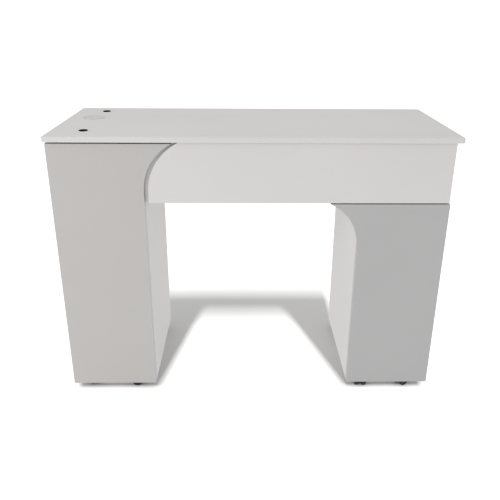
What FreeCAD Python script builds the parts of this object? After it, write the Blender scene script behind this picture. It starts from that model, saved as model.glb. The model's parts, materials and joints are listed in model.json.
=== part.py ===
import FreeCAD, Part

import math
import os

import Sketcher
from FreeCAD import Placement, Rotation, Vector

# Manicure table on eight twin-wheel casters, in millimetres.
# Frame: origin on the floor under the middle of the tabletop, +X to the client's right hand
# as they face the table, +Y towards the technician, +Z up.

# ---------------------------------------------------------------- driving dimensions
DIMENSIONS = {
    # overall
    "table_width": 1100,
    "table_depth": 450,
    "table_height": 800,
    "slab_thickness": 15,
    "slab_corner": 6,
    "slab_easing": 2.5,
    # boards and where they stand under the slab
    "board": 16,
    "facing": 18,
    "left_overhang": 4,
    "right_overhang": 13,
    "front_overhang": 12,
    "back_overhang": 42,
    "left_pedestal_width": 250,
    "right_pedestal_width": 247,
    "skirt_height": 37.5,
    "floor_clearance": 52,
    # client side: the two flared panels and the apron
    "left_shadow_gap": 5,
    "left_flare_radius": 150,
    "left_flare_start": 648,
    "right_flare_radius": 137,
    "right_flare_start": 490,
    "apron_height": 167,
    "apron_reveal": 11.5,
    "groove_depth": 8,
    "groove_backing": 120,
    "apron_inset": 3,
    "right_shadow_gap": 3,
    # technician side: doors, drawer fronts and boxes
    "front_gap": 1.5,
    "box_board": 12,
    "box_floor": 4,
    "floor_groove": 5,
    "box_length": 350,
    "slide_space": 12.5,
    "shallow_box": 100,
    "deep_box": 200,
    "box_lift": 12,
    "box_floor_lift": 8,
    # side-mounted drawer slides
    "slide_height": 27,
    "slide_depth": 9.5,
    "slide_sheet": 1.2,
    "slide_play": 2,
    "slide_back_margin": 2,
    "slide_front_margin": 1,
    # bow pulls and their screws
    "pull_spacing": 96,
    "pull_reach": 18,
    "pull_radius": 4,
    "pull_bend": 9,
    "pull_thread": 2,
    "pull_thread_depth": 8,
    "pull_screw_head": 4,
    "pull_screw_head_height": 2.5,
    # cabinet shelf and door
    "shelf_level": 400,
    "shelf_play": 1,
    "pin_radius": 2.5,
    "pin_depth": 8,
    "pin_pitch": 32,
    "pin_setback": 40,
    "shelf_front_gap": 6,
    "shelf_back_gap": 20,
    "door_pull_inset": 28,
    "hinge_length": 50,
    "knuckle_radius": 2,
    "hinge_pin_radius": 1,
    "hinge_play": 0.05,
    "leaf_root": 0.3,
    "tab_overlap": 0.5,
    "knuckle_play": 0.15,
    "leaf_thickness": 0.6,
    "leaf_width": 14,
    "hinge_margin": 75,
    "catch_length": 40,
    "catch_width": 14,
    "catch_drop": 70,
    "catch_gap": 0.5,
    "strike_margin": 4,
    "strike_thickness": 1.2,
    # grommets and the cable-port lid
    "cord_hole_inset": 92,
    "cord_hole_margin": 75,
    "cord_hole_radius": 10,
    "cord_rim_radius": 14.5,
    "cord_collar_wall": 2,
    "cord_collar_height": 3,
    "port_inset": 74,
    "port_setback": 274,
    "port_radius": 25,
    "port_rim_radius": 33,
    "port_lid_radius": 27.9,
    "lid_thickness": 3,
    "lid_play": 0.1,
    "lid_lift": 0.05,
    "lid_rise": 0.6,
    "lid_chamfer": 0.4,
    "dish_rim": 3,
    "dish_depth": 0.5,
    "port_sleeve_radius": 30,
    "rim_thickness": 1,
    "rim_rebate": 0.4,
    "rim_chamfer": 0.6,
    "rim_play": 0.1,
    "sleeve_wall": 1,
    "sleeve_tail": 2,
    # casters
    "caster_inset_outer": 54,
    "caster_inset_inner": 52,
    "caster_inset_end": 37,
    "wheel_radius": 18,
    "wheel_width": 15,
    "wheel_gap": 3,
    "tread_ease": 3,
    "tread_nip": 1,
    "wheel_lip": 2.5,
    "wheel_dish": 1.5,
    "wheel_boss": 2.5,
    "caster_trail": 13,
    "axle_radius": 2.5,
    "kingpin_radius": 3.5,
    "kingpin_length": 13.5,
    "kingpin_bore_extra": 1,
    "caster_play": 0.05,
    "plate_size": 40,
    "plate_thickness": 2.5,
    "plate_screw_offset": 14,
    "plate_screw_radius": 2,
    "plate_screw_depth": 12,
    "plate_screw_head": 3.6,
    "plate_screw_head_height": 1.8,
    "hood_skin": 1.2,
    "hood_clearance": 1,
    "hood_cheek": 0.6,
    "hood_skirt_level": 5,
    "hood_front": 11,
    "hub_radius": 6.5,
    "hub_level": 9,
    "hub_play": 0.2,
    "neck_bite": 1,
    "web_half": 2.4,
    "web_radius": 13,
    "axle_inset": 0.5,
    # carcass screws
    "carcass_screw_radius": 3.5,
    "carcass_screw_head": 5,
    "carcass_screw_head_height": 4,
    "carcass_screw_length": 46,
    "carcass_screw_margin": 70,
}

doc = FreeCAD.newDocument("manicure_table")
sheet = doc.addObject("Spreadsheet::Sheet", "Dims")
for row, (alias, number) in enumerate(DIMENSIONS.items(), start=1):
    sheet.set("A%d" % row, alias)
    sheet.set("B%d" % row, str(number))
    sheet.setAlias("B%d" % row, alias)
doc.recompute()


class Size:
    """A length that knows both its expression in the sheet's aliases and its present value."""

    def __init__(self, text, value):
        self.text = text
        self.value = float(value)

    @staticmethod
    def of(other):
        if isinstance(other, Size):
            return other
        return Size("(%r)" % float(other), other)

    def __add__(self, other):
        other = Size.of(other)
        return Size("(%s + %s)" % (self.text, other.text), self.value + other.value)

    def __radd__(self, other):
        return Size.of(other) + self

    def __sub__(self, other):
        other = Size.of(other)
        return Size("(%s - %s)" % (self.text, other.text), self.value - other.value)

    def __rsub__(self, other):
        return Size.of(other) - self

    def __mul__(self, factor):
        return Size("(%s * %r)" % (self.text, float(factor)), self.value * factor)

    __rmul__ = __mul__

    def __truediv__(self, factor):
        return Size("(%s / %r)" % (self.text, float(factor)), self.value / factor)

    def __neg__(self):
        return self * -1


class Dimensions:
    """The sheet's cells, read as dims.alias."""

    def __getattr__(self, alias):
        return Size("Dims." + alias, DIMENSIONS[alias])


dims = Dimensions()
ZERO = Size.of(0)

# ---------------------------------------------------------------- reference planes
LEFT_OUT = dims.left_overhang - dims.table_width / 2
LEFT_IN = LEFT_OUT + dims.left_pedestal_width
RIGHT_OUT = dims.table_width / 2 - dims.right_overhang
RIGHT_IN = RIGHT_OUT - dims.right_pedestal_width
FACE = dims.front_overhang - dims.table_depth / 2
CARCASS_FRONT = FACE + dims.facing
CARCASS_BACK = dims.table_depth / 2 - dims.back_overhang
FRONTS_BACK = CARCASS_BACK + dims.front_gap
FRONTS_FACE = FRONTS_BACK + dims.board
SLAB_UNDER = dims.table_height - dims.slab_thickness
APRON_BOTTOM = SLAB_UNDER - dims.apron_height
APRON_FLOOR = APRON_BOTTOM + dims.board
APRON_END = RIGHT_OUT - dims.apron_inset
BAY_RIGHT = APRON_END - dims.board
PARTITION_RIGHT = RIGHT_IN + dims.board
BOARD_BOTTOM = dims.floor_clearance
BOARD_TOP = dims.floor_clearance + dims.board

AXES = {
    "+x": Rotation(Vector(0, 0, 1), Vector(1, 0, 0)),
    "-x": Rotation(Vector(0, 0, 1), Vector(-1, 0, 0)),
    "+y": Rotation(Vector(0, 0, 1), Vector(0, 1, 0)),
    "-y": Rotation(Vector(0, 0, 1), Vector(0, -1, 0)),
    "+z": Rotation(),
}

nodes = {}


# ---------------------------------------------------------------- helpers
def bind(thing, prop, size):
    thing.setExpression(prop, Size.of(size).text)


def put(thing, at, rotation=None):
    """Places an object at a point given by three sizes, with an optional fixed rotation."""
    if rotation is not None:
        thing.Placement = Placement(Vector(), rotation)
    for letter, size in zip("xyz", at):
        bind(thing, "Placement.Base." + letter, size)
    return thing


def node(label, thing):
    thing.Label = label
    nodes[label] = thing
    return thing


def block(name, x_span, y_span, z_span):
    """A rectangular board between two planes on each axis."""
    box = doc.addObject("Part::Box", name)
    for prop, (low, high) in zip(("Length", "Width", "Height"), (x_span, y_span, z_span)):
        bind(box, prop, Size.of(high) - low)
    return put(box, (x_span[0], y_span[0], z_span[0]))


def rod(name, at, axis, radius, length):
    """A cylinder that starts at a point and runs along an axis."""
    cylinder = doc.addObject("Part::Cylinder", name)
    bind(cylinder, "Radius", radius)
    bind(cylinder, "Height", length)
    return put(cylinder, at, AXES[axis])


def group(name, things):
    compound = doc.addObject("Part::Compound", name)
    compound.Links = list(things)
    return compound


def fused(name, things):
    fusion = doc.addObject("Part::MultiFuse", name)
    fusion.Shapes = list(things)
    return fusion


def drilled(name, base, tools):
    """The base with the tools' space removed, so that a fastener and its hole match."""
    result = doc.addObject("Part::Cut", name)
    result.Base = base
    result.Tool = tools[0] if len(tools) == 1 else group(name + "_tools", tools)
    return result


def new_sketch(body, name, plane_role):
    plane = next(item for item in body.Origin.OriginFeatures if item.Role == plane_role)
    sketch = body.newObject("Sketcher::SketchObject", name)
    sketch.AttachmentSupport = [(plane, "")]
    sketch.MapMode = "FlatFace"
    return sketch


def hold(sketch, kind, size, *where):
    """Adds a dimension to a sketch and binds it to the sheet."""
    size = Size.of(size)
    number = sketch.addConstraint(Sketcher.Constraint(kind, *where, size.value))
    sketch.setExpression("Constraints[%d]" % number, size.text)


def hold_point(sketch, edge, end, x, y):
    """Holds one end of an edge at a place measured from the sketch's origin."""
    for kind, size in (("DistanceX", x), ("DistanceY", y)):
        hold(sketch, kind, size, -1, 1, edge, end)


def polygon(sketch, corners):
    """A closed outline of straight edges, each corner held at its own place."""
    points = [Vector(Size.of(x).value, Size.of(y).value, 0) for x, y in corners]
    for start, end in zip(points, points[1:] + points[:1]):
        sketch.addGeometry(Part.LineSegment(start, end))
    for edge in range(len(corners)):
        following = (edge + 1) % len(corners)
        sketch.addConstraint(Sketcher.Constraint("Coincident", edge, 2, following, 1))
        hold_point(sketch, edge, 1, *corners[edge])


def turned(name, corners):
    """A piece made by turning an outline of (radius, height) corners about its own Z axis."""
    body = doc.addObject("PartDesign::Body", name)
    sketch = new_sketch(body, name + "_outline", "XZ_Plane")
    polygon(sketch, corners)
    turn = body.newObject("PartDesign::Revolution", name + "_turn")
    turn.Profile = sketch
    turn.ReferenceAxis = (sketch, ["V_Axis"])
    turn.Angle = 360
    return body


def screw(name, at, axis, head, shank):
    """A screw seated at a point: its head behind the point, its shank ahead along the axis."""
    head_radius, head_height = head
    shank_radius, shank_length = shank
    pieces = (
        rod(name + "_head", (ZERO, ZERO, -Size.of(head_height)), "+z", head_radius, head_height),
        rod(name + "_shank", (ZERO, ZERO, ZERO), "+z", shank_radius, shank_length),
    )
    return put(fused(name, pieces), at, AXES[axis])


# ---------------------------------------------------------------- tabletop, grommets, lid
def edges_where(shape, test):
    return ["Edge%d" % number for number, edge in enumerate(shape.Edges, start=1) if test(edge)]


def make_tabletop():
    body = doc.addObject("PartDesign::Body", "tabletop_body")
    put(body, (ZERO, ZERO, SLAB_UNDER))
    sketch = new_sketch(body, "slab_outline", "XY_Plane")
    half_width, half_depth = dims.table_width / 2, dims.table_depth / 2
    polygon(sketch, [(-half_width, -half_depth), (half_width, -half_depth),
                     (half_width, half_depth), (-half_width, half_depth)])
    pad = body.newObject("PartDesign::Pad", "slab")
    pad.Profile = sketch
    bind(pad, "Length", dims.slab_thickness)
    doc.recompute()

    corners = body.newObject("PartDesign::Fillet", "slab_corners")
    upright = edges_where(pad.Shape, lambda edge: abs(edge.tangentAt(edge.FirstParameter).z) > 0.9)
    corners.Base = (pad, upright)
    bind(corners, "Radius", dims.slab_corner)
    doc.recompute()

    eased = body.newObject("PartDesign::Fillet", "slab_easing")
    level = edges_where(corners.Shape, lambda edge: edge.BoundBox.ZLength < 0.01)
    eased.Base = (corners, level)
    bind(eased, "Radius", dims.slab_easing)
    doc.recompute()
    solid_before = eased.Shape.Volume

    sleeve_radius = dims.cord_hole_radius + dims.sleeve_wall
    cord_seat = dims.cord_rim_radius + dims.rim_play
    port_seat = dims.port_rim_radius + dims.rim_play
    holes = cut_upwards(body, "cable_hole", ZERO, (sleeve_radius, sleeve_radius, PORT_SLEEVE))
    if holes.Shape.Volume >= solid_before:
        raise RuntimeError("the cable holes cut nothing from the tabletop")
    solid_before = holes.Shape.Volume
    seats = cut_upwards(body, "rim_seat", dims.slab_thickness - dims.rim_rebate,
                        (cord_seat, cord_seat, port_seat))
    if seats.Shape.Volume >= solid_before:
        raise RuntimeError("the rim seats cut nothing from the tabletop")
    return node("tabletop", body)


def cut_upwards(body, name, level, radii):
    """Cuts a round hole at each of the three grommets, from a level in the slab up through its top."""
    sketch = new_sketch(body, name + "_circles", "XY_Plane")
    bind(sketch, "AttachmentOffset.Base.z", level)
    places = ((CORD_X, CORD_FRONT), (CORD_X, CORD_BACK), (PORT_X, PORT_Y))
    for number, ((x, y), radius) in enumerate(zip(places, radii)):
        centre = Vector(x.value, y.value, 0)
        sketch.addGeometry(Part.Circle(centre, Vector(0, 0, 1), radius.value))
        hold_point(sketch, number, 3, x, y)
        hold(sketch, "Radius", radius, number)
    pocket = body.newObject("PartDesign::Pocket", name + "_pocket")
    pocket.Profile = sketch
    pocket.Type = 1
    pocket.Reversed = True
    doc.recompute()
    return pocket


CORD_X = dims.cord_hole_inset - dims.table_width / 2
CORD_FRONT = dims.cord_hole_margin - dims.table_depth / 2
CORD_BACK = dims.table_depth / 2 - dims.cord_hole_margin
PORT_X = dims.port_inset - dims.table_width / 2
PORT_Y = dims.port_setback - dims.table_depth / 2
PORT_SLEEVE = dims.port_sleeve_radius
SLEEVE_BOTTOM = -dims.slab_thickness - dims.sleeve_tail


def make_grommets():
    """Three flanged sleeves: two for cords with a standing collar, a wide one with a ledge for its lid."""
    bore = dims.cord_hole_radius
    collar, collar_top = bore + dims.cord_collar_wall, dims.cord_collar_height
    wall = bore + dims.sleeve_wall
    rim = dims.rim_thickness
    seat_level = -dims.rim_rebate
    bevel = dims.rim_chamfer
    sleeves = []
    for name, y in (("cord_grommet_front", CORD_FRONT), ("cord_grommet_back", CORD_BACK)):
        sleeve = turned(name, [
            (bore, SLEEVE_BOTTOM), (wall, SLEEVE_BOTTOM), (wall, seat_level),
            (dims.cord_rim_radius, seat_level), (dims.cord_rim_radius, rim - bevel),
            (dims.cord_rim_radius - bevel, rim), (collar, rim), (collar, collar_top - bevel),
            (collar - bevel, collar_top), (bore, collar_top)])
        sleeves.append(put(sleeve, (CORD_X, y, dims.table_height)))
    ledge = -dims.lid_thickness
    seat = dims.port_lid_radius + dims.lid_play
    port = turned("port_sleeve", [
        (dims.port_radius, SLEEVE_BOTTOM), (PORT_SLEEVE, SLEEVE_BOTTOM), (PORT_SLEEVE, seat_level),
        (dims.port_rim_radius, seat_level), (dims.port_rim_radius, rim - bevel),
        (dims.port_rim_radius - bevel, rim), (seat, rim),
        (seat, ledge), (dims.port_radius, ledge)])
    sleeves.append(put(port, (PORT_X, PORT_Y, dims.table_height)))
    node("cable_grommets", group("cable_grommet_set", sleeves))

    lid_base, lid_top = ledge + dims.lid_lift, dims.lid_rise
    lid_edge, bevel = dims.port_lid_radius, dims.lid_chamfer
    dish = lid_edge - dims.dish_rim
    lid = turned("port_lid_body", [
        (ZERO, lid_base), (lid_edge, lid_base), (lid_edge, lid_top - bevel),
        (lid_edge - bevel, lid_top), (dish, lid_top),
        (dish - dims.dish_depth, lid_top - dims.dish_depth), (ZERO, lid_top - dims.dish_depth)])
    node("port_lid", put(lid, (PORT_X, PORT_Y, dims.table_height)))


# ---------------------------------------------------------------- client side panels
def flared_panel(name, width, height, flare_start, radius, side, at):
    """A tall panel whose edge sweeps out in one arc near the top; side is +1 or -1.

    The arc leaves the straight edge tangentially and runs up to the panel's top edge.
    """
    body = doc.addObject("PartDesign::Body", name)
    put(body, at)
    sketch = new_sketch(body, name + "_outline", "XZ_Plane")
    w, full, start, r = (Size.of(size).value for size in (width, height, flare_start, radius))
    sweep = math.asin((full - start) / r)
    tip = w + r - r * math.cos(sweep)
    centre = Vector(side * (w + r), start, 0)
    arc = Part.Circle(centre, Vector(0, 0, 1), r)
    if side > 0:
        arc = Part.ArcOfCircle(arc, math.pi - sweep, math.pi)
        low_end, high_end = 2, 1
    else:
        arc = Part.ArcOfCircle(arc, 0, sweep)
        low_end, high_end = 1, 2
    bottom = sketch.addGeometry(Part.LineSegment(Vector(0, 0, 0), Vector(side * w, 0, 0)))
    edge = sketch.addGeometry(Part.LineSegment(Vector(side * w, 0, 0), Vector(side * w, start, 0)))
    flare = sketch.addGeometry(arc)
    top = sketch.addGeometry(Part.LineSegment(Vector(side * tip, full, 0), Vector(0, full, 0)))
    back = sketch.addGeometry(Part.LineSegment(Vector(0, full, 0), Vector(0, 0, 0)))
    for rule in (
            ("Coincident", bottom, 2, edge, 1), ("Tangent", edge, 2, flare, low_end),
            ("Coincident", flare, high_end, top, 1), ("Coincident", top, 2, back, 1),
            ("Coincident", back, 2, bottom, 1), ("Coincident", bottom, 1, -1, 1),
            ("Horizontal", bottom), ("Vertical", edge), ("Horizontal", top), ("Vertical", back)):
        sketch.addConstraint(Sketcher.Constraint(*rule))
    hold(sketch, "DistanceX", Size.of(width) * side, bottom, 1, bottom, 2)
    hold(sketch, "DistanceY", flare_start, edge, 1, edge, 2)
    hold(sketch, "DistanceY", height, back, 2, back, 1)
    hold(sketch, "Radius", radius, flare)
    return padded(body, sketch, name)


def padded(body, sketch, name):
    pad = body.newObject("PartDesign::Pad", name + "_board")
    pad.Profile = sketch
    pad.Reversed = True
    bind(pad, "Length", dims.facing)
    return body


def make_apron_front():
    """The white apron; its left end follows the left panel's arc across an even reveal."""
    name = "apron_front_body"
    body = doc.addObject("PartDesign::Body", name)
    left = LEFT_IN + dims.apron_reveal
    put(body, (left, FACE, APRON_BOTTOM))
    sketch = new_sketch(body, name + "_outline", "XZ_Plane")
    length = APRON_END - left
    height = dims.apron_height
    start = dims.left_flare_start - APRON_BOTTOM
    r = dims.left_flare_radius.value
    sweep = math.asin((height.value - start.value) / r)
    tip = r - r * math.cos(sweep)
    arc = Part.ArcOfCircle(Part.Circle(Vector(r, start.value, 0), Vector(0, 0, 1), r),
                           math.pi - sweep, math.pi)
    far, full = length.value, height.value
    bottom = sketch.addGeometry(Part.LineSegment(Vector(0, 0, 0), Vector(far, 0, 0)))
    end = sketch.addGeometry(Part.LineSegment(Vector(far, 0, 0), Vector(far, full, 0)))
    top = sketch.addGeometry(Part.LineSegment(Vector(far, full, 0), Vector(tip, full, 0)))
    flare = sketch.addGeometry(arc)
    edge = sketch.addGeometry(Part.LineSegment(Vector(0, start.value, 0), Vector(0, 0, 0)))
    for rule in (
            ("Coincident", bottom, 2, end, 1), ("Coincident", end, 2, top, 1),
            ("Coincident", top, 2, flare, 1), ("Tangent", flare, 2, edge, 1),
            ("Coincident", edge, 2, bottom, 1), ("Coincident", bottom, 1, -1, 1),
            ("Horizontal", bottom), ("Vertical", end), ("Horizontal", top), ("Vertical", edge)):
        sketch.addConstraint(Sketcher.Constraint(*rule))
    hold(sketch, "DistanceX", length, bottom, 1, bottom, 2)
    hold(sketch, "DistanceY", height, end, 1, end, 2)
    hold(sketch, "DistanceY", start, edge, 2, edge, 1)
    hold(sketch, "Radius", dims.left_flare_radius, flare)
    node("apron_front", padded(body, sketch, name))


def make_client_side():
    left_height = SLAB_UNDER - dims.left_shadow_gap - dims.skirt_height
    node("left_fascia", flared_panel(
        "left_fascia_body", dims.left_pedestal_width, left_height,
        dims.left_flare_start - dims.skirt_height, dims.left_flare_radius, 1,
        (LEFT_OUT, FACE, dims.skirt_height)))
    right_height = APRON_BOTTOM - dims.right_shadow_gap - dims.skirt_height
    node("right_fascia", flared_panel(
        "right_fascia_body", dims.right_pedestal_width, right_height,
        dims.right_flare_start - dims.skirt_height, dims.right_flare_radius, -1,
        (RIGHT_OUT, FACE, dims.skirt_height)))
    make_apron_front()


# ---------------------------------------------------------------- carcass
def make_carcass():
    depth = (CARCASS_FRONT, CARCASS_BACK)
    thick = dims.board
    tall = (dims.skirt_height, SLAB_UNDER)
    low = (dims.skirt_height, APRON_BOTTOM)
    floor = (BOARD_BOTTOM, BOARD_TOP)
    apron_floor = (APRON_BOTTOM, APRON_FLOOR)
    boards = {
        "left_outer_side": ((LEFT_OUT, LEFT_OUT + thick), depth, tall),
        "left_inner_side": ((LEFT_IN - thick, LEFT_IN), depth, tall),
        "left_bottom": ((LEFT_OUT + thick, LEFT_IN - thick), depth, floor),
        "right_outer_side": ((RIGHT_OUT - thick, RIGHT_OUT), depth, low),
        "right_inner_side": ((RIGHT_IN, RIGHT_IN + thick), depth, low),
        "right_bottom": ((RIGHT_IN + thick, RIGHT_OUT - thick), depth, floor),
        "right_top": ((RIGHT_IN + thick, RIGHT_OUT - thick), depth, (APRON_BOTTOM - thick, APRON_BOTTOM)),
        "apron_bottom": ((LEFT_IN, BAY_RIGHT), depth, apron_floor),
        "apron_end": ((BAY_RIGHT, APRON_END), depth, (APRON_BOTTOM, SLAB_UNDER)),
        "apron_partition": ((RIGHT_IN, PARTITION_RIGHT), (CARCASS_FRONT + thick, CARCASS_BACK),
                            (APRON_FLOOR, SLAB_UNDER)),
        "apron_rail": ((LEFT_IN, BAY_RIGHT), (CARCASS_FRONT, CARCASS_FRONT + thick),
                       (APRON_FLOOR, SLAB_UNDER)),
    }
    screws = make_carcass_screws()
    plate_screws = make_caster_plates()
    pins, pin_holes = make_shelf()
    tools = {
        "left_outer_side": [screws, pin_holes],
        "left_inner_side": [screws, pin_holes],
        "left_bottom": [screws, plate_screws],
        "right_outer_side": [screws],
        "right_bottom": [screws, plate_screws],
        "right_top": [screws],
        "apron_bottom": [screws],
        "apron_end": [screws],
    }
    for label, spans in boards.items():
        board = block(label + "_board", *spans)
        if label == "apron_rail":
            board = fused("apron_rail_with_backing", (board, groove_backing()))
        if label in tools:
            board = drilled(label + "_drilled", board, tools[label])
        node(label, board)


def groove_backing():
    """The white strip behind the groove between the left panel's flare and the apron."""
    strip = block("groove_strip", (LEFT_IN, LEFT_IN + dims.groove_backing),
                  (FACE + dims.groove_depth, CARCASS_FRONT), (APRON_BOTTOM, SLAB_UNDER))
    return drilled("groove_strip_cut", strip, [nodes["left_fascia"], nodes["apron_front"]])


def make_carcass_screws():
    """Flush-headed carcass screws, two to a joint, driven from the faces away from the client."""
    head_height = dims.carcass_screw_head_height
    joints = (
        ("left_bottom_screw", LEFT_OUT, "+x", (BOARD_BOTTOM + BOARD_TOP) / 2),
        ("right_bottom_screw", RIGHT_OUT, "-x", (BOARD_BOTTOM + BOARD_TOP) / 2),
        ("right_top_screw", RIGHT_OUT, "-x", APRON_BOTTOM - dims.board / 2),
        ("apron_end_screw", APRON_END, "-x", APRON_BOTTOM + dims.board / 2),
        ("apron_root_screw", LEFT_IN - dims.board, "+x", APRON_BOTTOM + dims.board / 2),
    )
    screws = []
    for name, face, axis, level in joints:
        seat = face + head_height * (1 if axis == "+x" else -1)
        for end, y in (("front", CARCASS_FRONT + dims.carcass_screw_margin),
                       ("back", CARCASS_BACK - dims.carcass_screw_margin)):
            screws.append(screw(
                "%s_%s" % (name, end), (seat, y, level), axis,
                (dims.carcass_screw_head, head_height),
                (dims.carcass_screw_radius, dims.carcass_screw_length)))
    return node("carcass_screws", group("carcass_screw_set", screws))


def make_shelf():
    """The cabinet's shelf on four pins, with a row of spare pin holes in each side."""
    play = dims.shelf_play / 2
    inside = (LEFT_OUT + dims.board, LEFT_IN - dims.board)
    front, back = CARCASS_FRONT + dims.shelf_front_gap, CARCASS_BACK - dims.shelf_back_gap
    node("cabinet_shelf", block(
        "shelf_board", (inside[0] + play, inside[1] - play), (front, back),
        (dims.shelf_level, dims.shelf_level + dims.board)))
    pins, holes = [], []
    level = dims.shelf_level - dims.pin_radius
    for column, y in enumerate((front + dims.pin_setback, back - dims.pin_setback)):
        for x, axis, inward in ((inside[0], "-x", 1), (inside[1], "+x", -1)):
            name = "shelf_pin_%d%s" % (column, "l" if inward > 0 else "r")
            mouth = x + dims.pin_depth * inward
            pins.append(rod(name, (mouth, y, level), axis, dims.pin_radius, dims.pin_depth * 2))
            for step in range(-2, 3):
                hole = rod("%s_hole%d" % (name, step + 2), (x, y, level + dims.pin_pitch * step),
                           axis, dims.pin_radius, dims.pin_depth)
                holes.append(hole)
    return node("shelf_pins", group("shelf_pin_set", pins)), group("pin_hole_set", holes)


# ---------------------------------------------------------------- casters
CASTER_END = {"front": CARCASS_FRONT + dims.caster_inset_end, "back": CARCASS_BACK - dims.caster_inset_end}
CASTER_SIDE = {
    "left_outer": LEFT_OUT + dims.caster_inset_outer,
    "left_inner": LEFT_IN - dims.caster_inset_inner,
    "right_inner": RIGHT_IN + dims.caster_inset_inner,
    "right_outer": RIGHT_OUT - dims.caster_inset_outer,
}
# the direction in which each caster trails, in degrees from +X towards +Y
CASTER_TRAIL_ANGLE = {
    "left_outer_front": 135,
    "left_inner_front": 180,
    "right_inner_front": 266,
    "right_outer_front": 215,
    "left_outer_back": 205,
    "left_inner_back": 150,
    "right_inner_back": 60,
    "right_outer_back": 200,
}
PLATE_BOTTOM = dims.floor_clearance - dims.plate_thickness


def caster_places():
    for side, x in CASTER_SIDE.items():
        for end, y in CASTER_END.items():
            yield "%s_%s" % (side, end), x, y


def make_caster_plates():
    """Steel top plates with their kingpins, and the screws that hold them up."""
    half = dims.plate_size / 2
    plates, screws = [], []
    for name, x, y in caster_places():
        plate = block(name + "_plate", (x - half, x + half), (y - half, y + half),
                      (PLATE_BOTTOM, dims.floor_clearance))
        pin_length = dims.kingpin_length
        kingpin = rod(name + "_kingpin", (x, y, PLATE_BOTTOM - pin_length), "+z",
                      dims.kingpin_radius, pin_length)
        own = []
        for corner, (sx, sy) in enumerate(((1, 1), (1, -1), (-1, 1), (-1, -1))):
            place = (x + dims.plate_screw_offset * sx, y + dims.plate_screw_offset * sy, PLATE_BOTTOM)
            own.append(screw("%s_screw%d" % (name, corner), place, "+z",
                             (dims.plate_screw_head, dims.plate_screw_head_height),
                             (dims.plate_screw_radius, dims.plate_thickness + dims.plate_screw_depth)))
        screws.extend(own)
        whole = fused(name + "_plate_and_pin", (plate, kingpin))
        plates.append(drilled(name + "_mount", whole, own))
    node("caster_plates", group("caster_plate_set", plates))
    return node("caster_screws", group("caster_screw_set", screws))


def make_caster(name, x, y):
    """One swivelling hood and its pair of wheels on a common axle.

    Both are built with the swivel axis on Z and the wheels trailing along +X, then turned.
    """
    turn = Rotation(Vector(0, 0, 1), CASTER_TRAIL_ANGLE[name])
    trail, radius = dims.caster_trail, dims.wheel_radius
    space = radius + dims.hood_clearance
    skin = space + dims.hood_skin
    inner, outer = dims.wheel_gap, dims.wheel_gap + dims.wheel_width
    cheek = outer + dims.hood_cheek
    far = cheek * 3
    hub_bottom = radius + dims.hub_level
    pin_end = PLATE_BOTTOM - dims.kingpin_length - dims.kingpin_bore_extra

    hub = rod(name + "_hub", (ZERO, ZERO, hub_bottom), "+z", dims.hub_radius,
              PLATE_BOTTOM - dims.hub_play - hub_bottom)
    disc = rod(name + "_web", (trail, -dims.web_half, radius), "+y", dims.web_radius, dims.web_half * 2)
    bite = dims.neck_bite
    neck = block(name + "_neck", (-dims.hub_radius + bite, trail), (-dims.web_half, dims.web_half),
                 (radius, radius + skin - bite))
    shell = rod(name + "_shell", (trail, -cheek, radius), "+y", skin, cheek * 2)
    keep = block(name + "_keep", (-dims.hub_radius, trail + dims.hood_front), (-far, far),
                 (radius + dims.hood_skirt_level, radius + far))
    fender = doc.addObject("Part::Common", name + "_fender")
    fender.Base = shell
    fender.Tool = keep
    solid = fused(name + "_hood_solid", (hub, disc, neck, fender))
    play = dims.caster_play
    spaces = [
        rod(name + "_space_right", (trail, dims.web_half, radius), "+y", space, far),
        rod(name + "_space_left", (trail, -dims.web_half, radius), "-y", space, far),
        rod(name + "_kingpin_bore", (ZERO, ZERO, pin_end), "+z",
            dims.kingpin_radius + play, PLATE_BOTTOM - pin_end),
        rod(name + "_axle_bore", (trail, -far, radius), "+y", dims.axle_radius + play, far * 2),
    ]
    hood = drilled(name + "_hood_cut", solid, spaces)
    node(name + "_caster_hood", put(hood, (x, y, ZERO), turn))

    ease, nip, lip, dish = dims.tread_ease, dims.tread_nip, dims.wheel_lip, dims.wheel_dish
    wheels = []
    for hand, axis in (("right", "+y"), ("left", "-y")):
        wheel = turned("%s_wheel_%s" % (name, hand), [
            (dims.axle_radius, inner), (radius - ease, inner), (radius, inner + lip),
            (radius, outer - ease), (radius - nip, outer - nip), (radius - lip, outer),
            (radius - lip * 2, outer), (radius - lip * 2 - nip, outer - dish),
            (dims.axle_radius + ease, outer - dish), (dims.axle_radius + dims.wheel_boss, outer),
            (dims.axle_radius, outer)])
        wheels.append(put(wheel, (trail, ZERO, radius), AXES[axis]))
    axle = rod(name + "_axle", (trail, dims.axle_inset - outer, radius), "+y", dims.axle_radius,
               (outer - dims.axle_inset) * 2)
    pair = group(name + "_wheel_pair", wheels + [axle])
    node(name + "_caster_wheels", put(pair, (x, y, ZERO), turn))


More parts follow.
